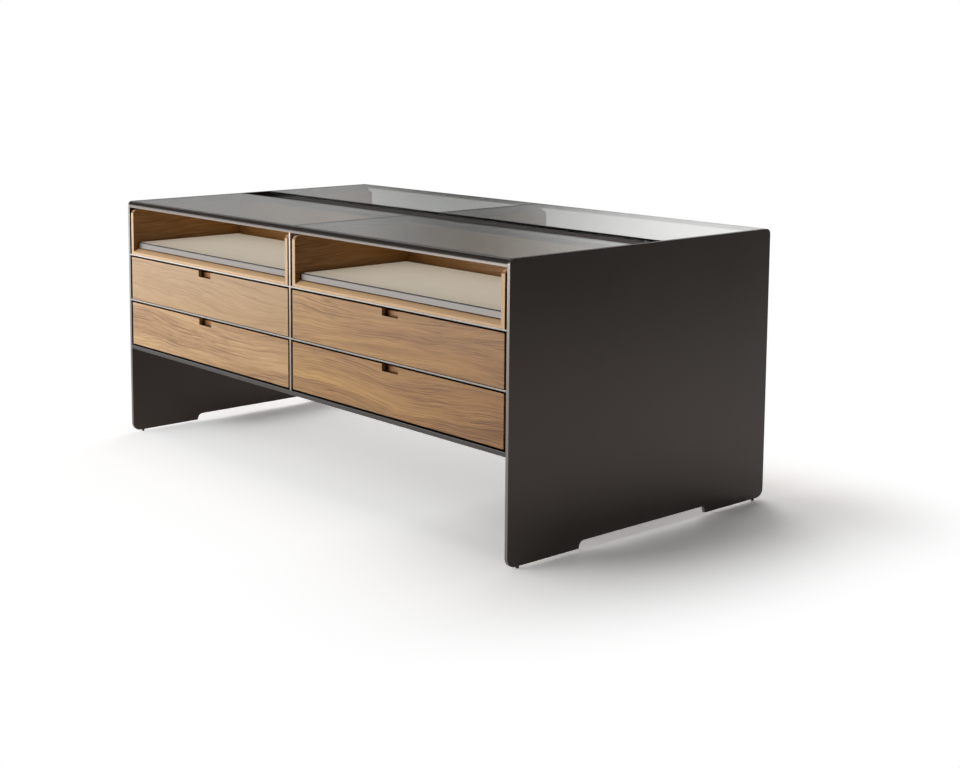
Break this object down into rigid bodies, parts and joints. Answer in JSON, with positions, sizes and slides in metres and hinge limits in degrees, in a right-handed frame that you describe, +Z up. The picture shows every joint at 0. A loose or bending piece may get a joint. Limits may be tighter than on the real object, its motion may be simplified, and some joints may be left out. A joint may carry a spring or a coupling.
{
  "type": "closet island with drawers",
  "caption": "Free-standing closet island: two side panels, glass top with a sunk channel, open niches with pull-out trays over notched oak drawers on both long sides.",
  "frame": {"origin": "on the floor, under the centre of the island", "axes": "+Z up, +X along the island's length, the front faces -Y and the rear +Y"},
  "size_m": [1.833, 1.018, 0.786],
  "materials": {
    "dark_aluminium": "dark bronze anodised, satin",
    "dark_board": "dark lacquered board, matt",
    "oak": "oiled oak, matt",
    "clear_glass": "clear float glass, polished edges",
    "beige_leather": "smooth beige leather",
    "pale_aluminium": "champagne anodised, satin",
    "zinc_steel": "zinc plated",
    "black_plastic": "moulded, matt"
  },
  "bodies": {
    "case": {"base_brackets": "zinc_steel", "base_panel": "dark_board", "base_rail_front": "dark_aluminium", "base_rail_rear": "dark_aluminium", "case_slides_front_left": "zinc_steel", "case_slides_front_right": "zinc_steel", "case_slides_rear_left": "zinc_steel", "case_slides_rear_right": "zinc_steel", "cross_rails_front": "dark_aluminium", "cross_rails_rear": "dark_aluminium", "divider_front": "dark_aluminium", "divider_rear": "dark_aluminium", "glass_pane_front_left": "clear_glass", "glass_pane_front_right": "clear_glass", "glass_pane_rear_left": "clear_glass", "glass_pane_rear_right": "clear_glass", "levelling_feet": "black_plastic", "niche_box_front_left": "oak", "niche_box_front_right": "oak", "niche_box_rear_left": "oak", "niche_box_rear_right": "oak", "niche_spacers": "dark_board", "side_panel_left": "dark_aluminium", "side_panel_right": "dark_aluminium", "spine_panel": "dark_board", "top_channel": "dark_aluminium", "top_rail_front": "dark_aluminium", "top_rail_rear": "dark_aluminium"},
    "drawer_front_left_lower": {"drawer_front_front_left_lower": "oak", "drawer_box_front_left_lower": "oak", "drawer_slides_front_left_lower": "zinc_steel"},
    "drawer_front_left_upper": {"drawer_front_front_left_upper": "oak", "drawer_box_front_left_upper": "oak", "drawer_slides_front_left_upper": "zinc_steel"},
    "tray_front_left": {"tray_frame_front_left": "pale_aluminium", "tray_pad_front_left": "beige_leather"},
    "drawer_rear_right_lower": {"drawer_front_rear_right_lower": "oak", "drawer_box_rear_right_lower": "oak", "drawer_slides_rear_right_lower": "zinc_steel"},
    "drawer_rear_right_upper": {"drawer_front_rear_right_upper": "oak", "drawer_box_rear_right_upper": "oak", "drawer_slides_rear_right_upper": "zinc_steel"},
    "tray_rear_right": {"tray_frame_rear_right": "pale_aluminium", "tray_pad_rear_right": "beige_leather"},
    "drawer_front_right_lower": {"drawer_front_front_right_lower": "oak", "drawer_box_front_right_lower": "oak", "drawer_slides_front_right_lower": "zinc_steel"},
    "drawer_front_right_upper": {"drawer_front_front_right_upper": "oak", "drawer_box_front_right_upper": "oak", "drawer_slides_front_right_upper": "zinc_steel"},
    "tray_front_right": {"tray_frame_front_right": "pale_aluminium", "tray_pad_front_right": "beige_leather"},
    "drawer_rear_left_lower": {"drawer_front_rear_left_lower": "oak", "drawer_box_rear_left_lower": "oak", "drawer_slides_rear_left_lower": "zinc_steel"},
    "drawer_rear_left_upper": {"drawer_front_rear_left_upper": "oak", "drawer_box_rear_left_upper": "oak", "drawer_slides_rear_left_upper": "zinc_steel"},
    "tray_rear_left": {"tray_frame_rear_left": "pale_aluminium", "tray_pad_rear_left": "beige_leather"}
  },
  "joints": [
    {"name": "slide_drawer_front_left_lower", "type": "slide", "parent": "case", "child": "drawer_front_left_lower", "axis": [0, -1, 0], "range_m": [0, 0.33]},
    {"name": "slide_drawer_front_left_upper", "type": "slide", "parent": "case", "child": "drawer_front_left_upper", "axis": [0, -1, 0], "range_m": [0, 0.33]},
    {"name": "slide_tray_front_left", "type": "slide", "parent": "case", "child": "tray_front_left", "axis": [0, -1, 0], "range_m": [0, 0.25]},
    {"name": "slide_drawer_rear_right_lower", "type": "slide", "parent": "case", "child": "drawer_rear_right_lower", "axis": [0, 1, 0], "range_m": [0, 0.33]},
    {"name": "slide_drawer_rear_right_upper", "type": "slide", "parent": "case", "child": "drawer_rear_right_upper", "axis": [0, 1, 0], "range_m": [0, 0.33]},
    {"name": "slide_tray_rear_right", "type": "slide", "parent": "case", "child": "tray_rear_right", "axis": [0, 1, 0], "range_m": [0, 0.25]},
    {"name": "slide_drawer_front_right_lower", "type": "slide", "parent": "case", "child": "drawer_front_right_lower", "axis": [0, -1, 0], "range_m": [0, 0.33]},
    {"name": "slide_drawer_front_right_upper", "type": "slide", "parent": "case", "child": "drawer_front_right_upper", "axis": [0, -1, 0], "range_m": [0, 0.33]},
    {"name": "slide_tray_front_right", "type": "slide", "parent": "case", "child": "tray_front_right", "axis": [0, -1, 0], "range_m": [0, 0.25]},
    {"name": "slide_drawer_rear_left_lower", "type": "slide", "parent": "case", "child": "drawer_rear_left_lower", "axis": [0, 1, 0], "range_m": [0, 0.33]},
    {"name": "slide_drawer_rear_left_upper", "type": "slide", "parent": "case", "child": "drawer_rear_left_upper", "axis": [0, 1, 0], "range_m": [0, 0.33]},
    {"name": "slide_tray_rear_left", "type": "slide", "parent": "case", "child": "tray_rear_left", "axis": [0, 1, 0], "range_m": [0, 0.25]}
  ]
}
